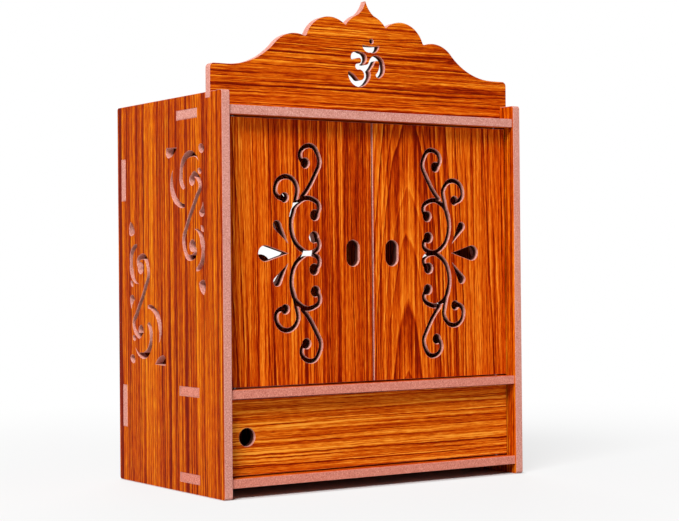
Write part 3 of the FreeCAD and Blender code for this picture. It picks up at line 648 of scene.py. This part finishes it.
def build_pin_tree():
    tree = bpy.data.node_groups.new("Turned pins", "GeometryNodeTree")
    tree.interface.new_socket("Geometry", in_out="INPUT", socket_type="NodeSocketGeometry")
    for name, value in (("Pin Radius", PIN_RADIUS), ("Pin Length", PIN_LENGTH),
                        ("Chamfer", PIN_CHAMFER)):
        socket = tree.interface.new_socket(name, in_out="INPUT", socket_type="NodeSocketFloat")
        socket.default_value = value
    tree.interface.new_socket("Material", in_out="INPUT", socket_type="NodeSocketMaterial")
    tree.interface.new_socket("Geometry", in_out="OUTPUT", socket_type="NodeSocketGeometry")
    given = tree.nodes.new("NodeGroupInput").outputs
    result = tree.nodes.new("NodeGroupOutput").inputs

    tip_radius = maths(tree, "SUBTRACT", given["Pin Radius"], given["Chamfer"])
    widen = maths(tree, "DIVIDE", given["Pin Radius"], tip_radius)
    narrow = maths(tree, "DIVIDE", tip_radius, given["Pin Radius"])
    shaft = maths(tree, "MULTIPLY_ADD", given["Chamfer"], -2.0, given["Pin Length"])
    disc = add(tree, "GeometryNodeMeshCircle", {"Vertices": PIN_SIDES, "Radius": tip_radius},
               fill_type="NGON")
    foot = add(tree, "GeometryNodeFlipFaces", {"Mesh": disc.outputs["Mesh"]})
    body = disc.outputs["Mesh"]
    top = None
    for rise, growth in ((given["Chamfer"], widen), (shaft, None), (given["Chamfer"], narrow)):
        step = add(tree, "GeometryNodeExtrudeMesh", {"Mesh": body, "Offset Scale": rise})
        if top is not None:
            tree.links.new(top, step.inputs["Selection"])
        body = step.outputs["Mesh"]
        top = step.outputs["Top"]
        if growth is not None:
            grown = add(tree, "GeometryNodeScaleElements", {
                "Geometry": body, "Selection": top, "Scale": growth})
            body = grown.outputs["Geometry"]
    joined = tree.nodes.new("GeometryNodeJoinGeometry")
    tree.links.new(foot.outputs["Mesh"], joined.inputs["Geometry"])
    tree.links.new(body, joined.inputs["Geometry"])
    pin = add(tree, "GeometryNodeMergeByDistance", {"Geometry": joined.outputs["Geometry"],
                                                    "Distance": WELD})
    placed = add(tree, "GeometryNodeInstanceOnPoints", {"Points": given["Geometry"],
                                                        "Instance": pin.outputs["Geometry"]})
    real = add(tree, "GeometryNodeRealizeInstances", {"Geometry": placed.outputs["Instances"]})
    finished = add(tree, "GeometryNodeSetMaterial", {"Geometry": real.outputs["Geometry"],
                                                     "Material": given["Material"]})
    tree.links.new(finished.outputs["Geometry"], result["Geometry"])
    return tree


pin_tree = build_pin_tree()
print("nodes in the pin tree:", len(pin_tree.nodes))

# %% [markdown]
# The points are the pins' lower ends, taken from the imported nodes. Each door has a mesh of its
# own, because its pins turn with it. The tree's result is turned into a plain mesh, so nothing
# is left to work out when the door moves.

# %% Pins for each door
def pins_of(body):
    """One mesh with a body's pivot pins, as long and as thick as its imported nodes."""
    nodes = [node for node in frame["record"]["behaviour"]["bodies"][body] if "_pin_" in node]
    boxes = [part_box(node) for node in nodes]
    feet = [((low.x + high.x) / 2, (low.y + high.y) / 2, low.z) for low, high in boxes]
    low, high = boxes[0]
    points = bpy.data.meshes.new(body + "_pin_feet")
    points.from_pydata(feet, [], [])
    carrier = bpy.data.objects.new(body + "_pin_feet", points)
    bpy.context.scene.collection.objects.link(carrier)

    modifier = carrier.modifiers.new("Turned pins", "NODES")
    modifier.node_group = pin_tree
    values = {"Pin Radius": (high.x - low.x) / 2, "Pin Length": high.z - low.z,
              "Chamfer": PIN_CHAMFER, "Material": steel}
    for socket in pin_tree.interface.items_tree:
        if socket.name in values:
            modifier[socket.identifier] = values[socket.name]
    ready = carrier.evaluated_get(bpy.context.evaluated_depsgraph_get())
    mesh = bpy.data.meshes.new_from_object(ready)
    bpy.data.objects.remove(carrier)

    mesh.name = body + "_pins"
    mesh.polygons.foreach_set("use_smooth", [True] * len(mesh.polygons))
    mesh.set_sharp_from_angle(angle=SHARP)
    pins = bpy.data.objects.new(body + "_pins", mesh)
    bpy.context.scene.collection.objects.link(pins)
    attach(pins, body)
    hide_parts(*nodes)
    print(pins.name, "has", len(mesh.polygons), "faces on", len(nodes), "pins")


for body in frame["record"]["behaviour"]["bodies"]:
    if body != "cabinet":
        pins_of(body)

# %% [markdown]
# ## The floor
# Such a cabinet is shown on a white sheet that runs on behind it with no edge in sight. A sheet
# bent up behind the object would be the studio's way, but it would hide the object from behind.
# So the floor is flat. Close to the object a quarter of what is seen is a pale sheet that takes
# light and shadow, and the rest is plain white. Further out it is all white for every ray that
# the camera, a reflection or glass sends there, so that no horizon shows. Under the cabinet it
# adds no white of its own, so the gap below the bottom shelf stays dark.

# %% Pale floor that fades into white
# Lengths in metres: half the floor's width, how far out the fade starts and ends, and the width
# over which the white sets in outside the cabinet's footprint
FLOOR_HALF = 6.0
FADE_START = 0.15
FADE_END = 1.0
RIM = 0.004
FLOOR_GREY = screen(205, 205, 205)
NEAR_WHITE = 0.75


def seen_directly(tree):
    """One for rays from the camera, a mirror or glass, and zero for the light that bounces."""
    path = tree.nodes.new("ShaderNodeLightPath")
    some = maths(tree, "MAXIMUM", path.outputs["Is Camera Ray"], path.outputs["Is Glossy Ray"])
    return maths(tree, "MAXIMUM", some, path.outputs["Is Transmission Ray"])


def pale_floor_material():
    material = bpy.data.materials.new("pale_floor")
    material.use_nodes = True
    tree = material.node_tree
    tree.nodes.clear()
    place = add(tree, "ShaderNodeTexCoord")
    reach = add(tree, "ShaderNodeVectorMath", {0: place.outputs["Object"]}, operation="LENGTH")
    fade = add(tree, "ShaderNodeMapRange", {"Value": reach.outputs["Value"],
                                            "From Min": FADE_START, "From Max": FADE_END,
                                            "To Min": NEAR_WHITE},
               interpolation_type="SMOOTHSTEP")
    sheet = add(tree, "ShaderNodeBsdfDiffuse", {"Color": FLOOR_GREY})
    white = add(tree, "ShaderNodeEmission", {"Color": (1.0, 1.0, 1.0, 1.0), "Strength": 1.0})
    sides = add(tree, "ShaderNodeSeparateXYZ", {0: place.outputs["Object"]})
    past_side = maths(tree, "SUBTRACT", maths(tree, "ABSOLUTE", sides.outputs["X"]), cad_high.x)
    past_front = maths(tree, "SUBTRACT", cad_low.y, sides.outputs["Y"])
    past_back = maths(tree, "SUBTRACT", sides.outputs["Y"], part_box("back_panel")[1].y)
    past = maths(tree, "MAXIMUM", maths(tree, "MAXIMUM", past_front, past_back), past_side)
    outside = add(tree, "ShaderNodeMapRange", {"Value": past, "From Max": RIM})
    share = maths(tree, "MULTIPLY", maths(tree, "MULTIPLY", fade.outputs[0], outside.outputs[0]),
                  seen_directly(tree))
    blend = tree.nodes.new("ShaderNodeMixShader")
    tree.links.new(share, blend.inputs[0])
    tree.links.new(sheet.outputs[0], blend.inputs[1])
    tree.links.new(white.outputs[0], blend.inputs[2])
    leaving = tree.nodes.new("ShaderNodeOutputMaterial")
    tree.links.new(blend.outputs[0], leaving.inputs["Surface"])
    return material


floor_mesh = bpy.data.meshes.new("pale_floor")
floor_mesh.from_pydata([(-FLOOR_HALF, -FLOOR_HALF, 0), (FLOOR_HALF, -FLOOR_HALF, 0),
                        (FLOOR_HALF, FLOOR_HALF, 0), (-FLOOR_HALF, FLOOR_HALF, 0)],
                       [], [(0, 1, 2, 3)])
floor_mesh.materials.append(pale_floor_material())
pale_floor = bpy.data.objects.new("pale_floor", floor_mesh)
bpy.context.scene.collection.objects.link(pale_floor)
print("floor:", 2 * FLOOR_HALF, "m square")

# %% [markdown]
# ## Light
# A white world would light the object from all sides and wash out every shadow. So the world is
# white where it is seen, and a dark grey where it only lights the object.

# %% World
WORLD_LIGHT = 0.05
world = bpy.data.worlds.new("white_studio")
bpy.context.scene.world = world
world.use_nodes = True
world_tree = world.node_tree
world_tree.nodes.clear()
level = add(world_tree, "ShaderNodeMapRange", {"Value": seen_directly(world_tree),
                                               "To Min": WORLD_LIGHT, "To Max": 1.0})
sky = add(world_tree, "ShaderNodeBackground", {"Color": (1.0, 1.0, 1.0, 1.0),
                                               "Strength": level.outputs[0]})
world_end = world_tree.nodes.new("ShaderNodeOutputWorld")
world_tree.links.new(sky.outputs[0], world_end.inputs["Surface"])
print("world light:", WORLD_LIGHT)

# %% [markdown]
# A wide soft lamp, high in front and far to the left, does most of the rest. It makes the side a
# little brighter than the doors, and lays the soft shadow of the top shelf on them. A weak one,
# much lower and a little to the right, lifts the shade under the shelves, and a third stands
# behind, where this view doesn't see it work, so that the back can be read too. Large lamps are
# used because a smooth film shows a small one as a glaring spot.

# %% Lamps
MIDDLE = (cad_low + cad_high) / 2


def soft_lamp(name, place, size, power):
    """A square area lamp that faces the middle of the cabinet."""
    lamp = bpy.data.lights.new(name, "AREA")
    lamp.shape = "SQUARE"
    lamp.size = size
    lamp.energy = power
    holder = bpy.data.objects.new(name, lamp)
    holder.location = place
    holder.rotation_euler = (MIDDLE - Vector(place)).to_track_quat("-Z", "Y").to_euler()
    bpy.context.scene.collection.objects.link(holder)
    print(f"{name}: {power} W, {size} m wide, {(MIDDLE - Vector(place)).length:.2f} m away")


# Name, place in metres, width in metres and power in watts
soft_lamp("key_lamp", (-3.5, -2.5, 4.1), 2.5, 490.0)
soft_lamp("fill_lamp", (0.9, -2.2, 0.7), 1.2, 5.0)
soft_lamp("back_lamp", (1.6, 2.9, 2.4), 2.0, 70.0)

# %% [markdown]
# ## The camera
# The camera stands about 1.6 m away, a third of a right angle round to the left and a little
# below the middle of the doors. It could be aimed by a constraint, but three plain angles say
# more: yaw is the turn to the right, pitch is the look up, and roll is the tilt of the picture. A
# long lens from afar keeps the far side nearly as tall as the near one, as in a catalogue picture.

# %% Camera
SENSOR_WIDTH = 36.0
FOCAL_LENGTH = 91.21
CAMERA_PLACE = (-0.857, -1.32565, 0.1881)
CAMERA_YAW = math.radians(33.513)
CAMERA_PITCH = math.radians(0.331)
CAMERA_ROLL = math.radians(-0.519)
lens = bpy.data.cameras.new("photo_camera")
lens.sensor_width = SENSOR_WIDTH
lens.lens = FOCAL_LENGTH
camera = bpy.data.objects.new("photo_camera", lens)
forward = Vector((math.sin(CAMERA_YAW) * math.cos(CAMERA_PITCH),
                  math.cos(CAMERA_YAW) * math.cos(CAMERA_PITCH),
                  math.sin(CAMERA_PITCH)))
turn = forward.to_track_quat("-Z", "Y") @ Quaternion((0.0, 0.0, 1.0), CAMERA_ROLL)
camera.location = CAMERA_PLACE
camera.rotation_euler = turn.to_euler()
bpy.context.scene.collection.objects.link(camera)
bpy.context.scene.camera = camera
bpy.context.scene.view_settings.view_transform = "Standard"
print("camera looks along", [round(value, 3) for value in forward])
